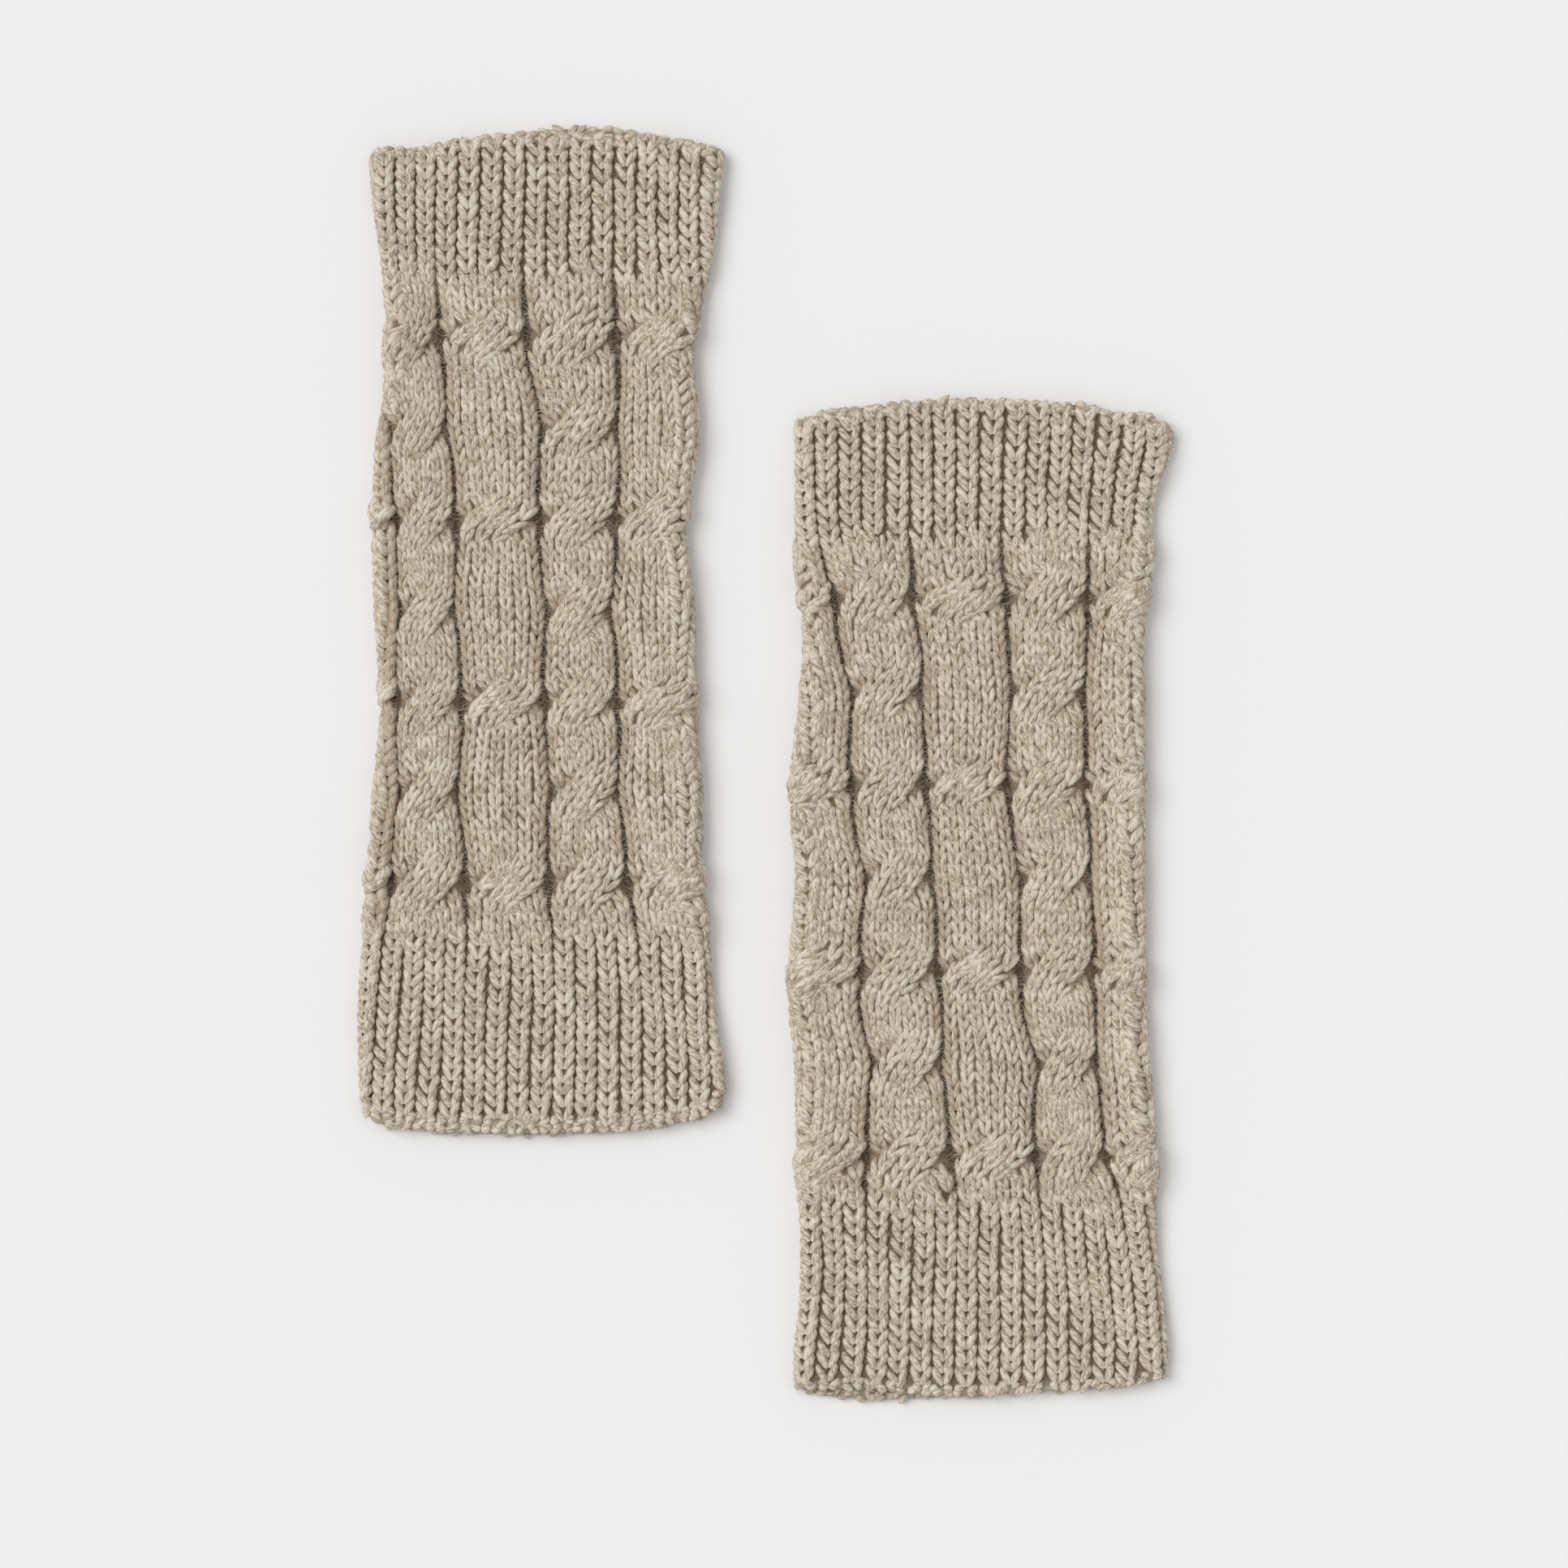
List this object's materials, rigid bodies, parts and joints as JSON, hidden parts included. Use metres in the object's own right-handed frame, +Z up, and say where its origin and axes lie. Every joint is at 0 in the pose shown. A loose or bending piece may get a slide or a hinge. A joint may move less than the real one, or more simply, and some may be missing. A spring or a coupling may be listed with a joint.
{
  "type": "pair of leg warmers",
  "caption": "Matching ribbed and cable-knitted leg warmers in oatmeal yarn, open tubes lying flat side by side.",
  "frame": {"origin": "middle of the pair's footprint, on the surface that it lies on", "axes": "+Y along both tubes from their hems to their upper rims, +Z up from the surface, +X to the right"},
  "size_m": [0.3245, 0.5095, 0.0131],
  "materials": {
    "yarn": "matt, slightly fuzzy heather yarn"
  },
  "bodies": {
    "root": {"left_lower_cuff": "yarn", "left_leg": "yarn", "left_upper_cuff": "yarn", "right_lower_cuff": "yarn", "right_leg": "yarn", "right_upper_cuff": "yarn"}
  },
  "joints": []
}
